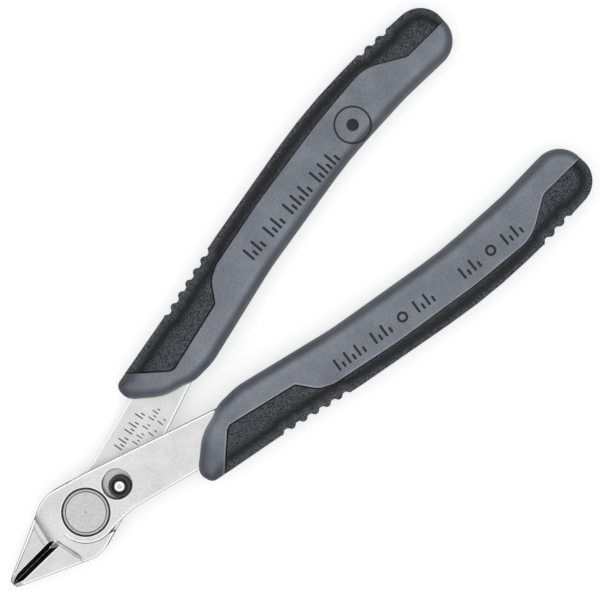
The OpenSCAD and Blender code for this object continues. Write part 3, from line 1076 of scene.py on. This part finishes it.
PIN_TOP = 2.7
PIN_R = STOP_PIN[2]
PIN_EDGE = 0.22
pin_profile = [(0, PIN_TOP - 0.14), (0.16, PIN_TOP - 0.12), (0.34, PIN_TOP - 0.02), (0.44, PIN_TOP)]
pin_profile += soft_corner(PIN_R - PIN_EDGE, PIN_TOP - PIN_EDGE, PIN_EDGE, 90, 0, 6)
pin_profile += [(PIN_R, -PLATE + 0.05), (PIN_R - 0.05, -PLATE + 0.01), (0, -PLATE + 0.01)]
lathe("stop_pin_steel", pin_profile, STOP_PIN[:2], PIN_STEEL, "rear", "stop_pin", 48)

SLEEVE_TOP = 2.52
SLEEVE_BORE = 1.42
SLEEVE_EDGE = 0.22
SLEEVE_LIP = 0.16
sleeve_profile = soft_corner(SLEEVE_R - SLEEVE_EDGE, SLEEVE_TOP - SLEEVE_EDGE, SLEEVE_EDGE, 90, 0, 6)
sleeve_profile += [(SLEEVE_R, 0.04), (PIN_R + 0.03, 0.04), (PIN_R + 0.03, SLEEVE_TOP - 1.2)]
sleeve_profile += [(SLEEVE_BORE - 0.06, SLEEVE_TOP - 1.2), (SLEEVE_BORE, SLEEVE_TOP - 1.14)]
sleeve_profile += soft_corner(SLEEVE_BORE + SLEEVE_LIP, SLEEVE_TOP - SLEEVE_LIP, SLEEVE_LIP, 180, 90, 6)
lathe("stop_sleeve_black", sleeve_profile, STOP_PIN[:2], SLEEVE, "rear", "stop_sleeve", 64)

for spring_slot in frame["nodes"]["return_spring"].material_slots:
    spring_slot.material = SPRING


# ---- Marks: plain bars, rings and dots in place of the printing ----

MARK_EDGE = 0.03


def bar(centre, length, width, turn):
    """Outline of a bar with round ends, its long side turned by turn degrees from +X."""
    half = length / 2 - width / 2
    ends = [arc(width / 2, -90, 90, 15, (half, 0)), arc(width / 2, 90, 270, 15, (-half, 0))]
    a = math.radians(turn)
    spin = np.array([[math.cos(a), math.sin(a)], [-math.sin(a), math.cos(a)]])
    return np.concatenate(ends) @ spin + np.array(centre)


def row(start, end, groups, height, width, gap):
    """Bars across a line from start to end, in groups, a tall one and a short one by turns.
    A group of 0 is a small ring."""
    start, end = np.array(start), np.array(end)
    ahead = end - start
    turn = math.degrees(math.atan2(ahead[1], ahead[0])) + 90
    across = np.array([math.cos(math.radians(turn)), math.sin(math.radians(turn))])
    places = sum(2 * max(n, 1) for n in groups) + gap * (len(groups) - 1)
    shapes, at = [], 0.5
    for n in groups:
        if n == 0:
            shapes.append(("ring", start + ahead * (at + 0.5) / places, height * 0.42, width))
            at += 2 + gap
            continue
        for k in range(2 * n):
            tall = k % 2 == 0
            length = height if tall else height * 0.5
            shift = across * (0 if tall else -height * 0.25)
            shapes.append(("bar", start + ahead * at / places + shift, length, width, turn))
            at += 1
        at += gap
    return shapes


def mark_mesh(name, shapes, low, high, material, body, slot):
    """One closed thin plate for each shape, its upper edge softened."""
    points, faces = [], []
    brink = high - MARK_EDGE / 2

    def ring_of(path, z):
        points.extend([(x * MM, y * MM, z * MM) for x, y in path])
        return list(range(len(points) - len(path), len(points)))

    def band(a, b):
        n = len(a)
        faces.extend([[a[i], a[(i + 1) % n], b[(i + 1) % n], b[i]] for i in range(n)])

    for kind, centre, *size in shapes:
        if kind == "ring":
            radius, width = size
            outer = circle(radius, centre, 5)
            inner = circle(radius - width, centre, 5)
            soft_outer = circle(radius - MARK_EDGE, centre, 5)
            soft_inner = circle(radius - width + MARK_EDGE, centre, 5)
            o0, i0 = ring_of(outer, low), ring_of(inner, low)
            o1, i1 = ring_of(outer, brink), ring_of(inner, brink)
            o2, i2 = ring_of(soft_outer, high), ring_of(soft_inner, high)
            round_trip = [o0, o1, o2, i2, i1, i0, o0]
            for here, there in zip(round_trip, round_trip[1:]):
                band(here, there)
        else:
            if kind == "bar":
                length, width, turn = size
                path = bar(centre, length, width, turn)
                soft = bar(centre, length - 2 * MARK_EDGE, width - 2 * MARK_EDGE, turn)
            else:
                path, soft = circle(size[0], centre, 6), circle(size[0] - MARK_EDGE, centre, 6)
            b0, b1, b2 = ring_of(path, low), ring_of(path, brink), ring_of(soft, high)
            band(b0, b1)
            band(b1, b2)
            faces.extend([b2, b0[::-1]])
    piece = new_piece(name, points, faces, [material], 40.0)
    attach(piece, body)


PRINT_Z = (GRIP_H - 0.05, GRIP_H + 0.02)
upper = row((11.9, -52.0), (13.9, -76.0), (2, 2, 3, 3), 2.7, 0.47, 1.2)
upper += [("ring", (15.3, -81.6), 3.4, 0.34), ("dot", (15.3, -81.6), 1.1)]
mark_mesh("print_rear", upper, *PRINT_Z, INK, "rear", "grip_black")
lower = row((-12.7, -49.3), (-15.9, -70.8), (3, 2, 0, 2), 2.4, 0.46, 1.2)
lower += row((-16.8, -76.3), (-18.2, -90.3), (2, 0, 2), 2.4, 0.46, 1.2)
mark_mesh("print_front", lower, *PRINT_Z, INK, "front", "grip_black")
etched = row((4.1, -11.5), (5.7, -19.4), (2, 2, 1), 1.75, 0.23, 0.8)
etched += row((2.5, -14.2), (4.15, -22.0), (2, 1, 2), 1.25, 0.20, 0.8)
etched += row((1.6, -17.2), (2.15, -21.6), (1, 1), 1.25, 0.20, 0.8)
mark_mesh("etched_rear", etched, -0.05, 0.0, ETCH, "rear", "steel")


# ---- Stage ----

FLOOR_HALF = 1.5
FLOOR_GAP = 0.02  # the grips rest just above the floor, so that no two faces coincide
FOCAL = 150.0
SENSOR = 36.0
VIEW_WIDTH = 106.3  # what the picture is wide at the object
VIEW_CENTRE = (-0.05, -53.3)
VIEW_LIFT = 2.0  # height of the plane that the width is measured in
VIEW_TURN = 134.8  # turn of the picture about the line of sight, in degrees
WORLD_STOPS = ((0.50, 0.14), (0.82, 0.60))  # place between below and overhead, and grey there
# Name, place, target, size and power, in metres and watts.
LIGHTS = (
    ("overhead", (0.0, 0.15, 1.2), (0, -0.02, 0), (0.9, 1.4), 2.0),
    ("tip_side", (0.0, 1.0, 0.9), (0, 0.0, 0), (1.0, 0.7), 1.25),
    ("side_right", (0.72, -0.053, 0.9), (0, -0.053, 0), (0.3, 1.2), 0.65),
    ("side_left", (-0.72, -0.053, 0.9), (0, -0.053, 0), (0.3, 1.2), 0.85),
)


def floor():
    """A square sheet under the grips."""
    mesh = bpy.data.meshes.new("floor")
    h, z = FLOOR_HALF, -(GRIP_H + FLOOR_GAP) * MM
    mesh.from_pydata([(-h, -h, z), (h, -h, z), (h, h, z), (-h, h, z)], [], [(0, 1, 2, 3)])
    mesh.materials.append(FLOOR)
    piece = bpy.data.objects.new("floor", mesh)
    bpy.context.scene.collection.objects.link(piece)


def area_light(name, place, target, size, power):
    """A rectangular lamp that faces its target."""
    light = bpy.data.lights.new(name, "AREA")
    light.shape = "RECTANGLE"
    light.size, light.size_y = size
    light.energy = power
    lamp = bpy.data.objects.new(name, light)
    lamp.location = place
    lamp.rotation_euler = (Vector(target) - Vector(place)).to_track_quat("-Z", "Y").to_euler()
    bpy.context.scene.collection.objects.link(lamp)


def camera():
    """Straight above, with the jaws' tip to the lower left of the picture."""
    data = bpy.data.cameras.new("camera")
    data.sensor_width = SENSOR
    data.lens = FOCAL
    data.clip_start, data.clip_end = 0.01, 10.0
    eye = bpy.data.objects.new("camera", data)
    turn = math.radians(VIEW_TURN)
    right = Vector((math.cos(turn), -math.sin(turn), 0))
    up = Vector((math.sin(turn), math.cos(turn), 0))
    rows = Matrix((right, up, (0, 0, 1))).transposed()
    height = VIEW_WIDTH * FOCAL / SENSOR + VIEW_LIFT
    eye.matrix_world = Matrix.Translation(Vector((*VIEW_CENTRE, height)) * MM) @ rows.to_4x4()
    bpy.context.scene.collection.objects.link(eye)
    bpy.context.scene.camera = eye


def world():
    """A studio that is bright overhead and dim towards the horizon."""
    studio = bpy.data.worlds.new("studio")
    bpy.context.scene.world = studio
    studio.use_nodes = True
    tree = studio.node_tree
    coords = tree.nodes.new("ShaderNodeTexCoord")
    parts = tree.nodes.new("ShaderNodeSeparateXYZ")
    ramp = tree.nodes.new("ShaderNodeValToRGB")
    for element, (at, grey) in zip(ramp.color_ramp.elements, WORLD_STOPS):
        element.position = at
        element.color = (grey, grey, grey, 1.0)
    tree.links.new(coords.outputs["Generated"], parts.inputs[0])
    tree.links.new(parts.outputs["Z"], ramp.inputs["Fac"])
    tree.links.new(ramp.outputs["Color"], tree.nodes["Background"].inputs["Color"])


floor()
camera()
world()
for settings in LIGHTS:
    area_light(*settings)
bpy.context.scene.view_settings.view_transform = "Standard"
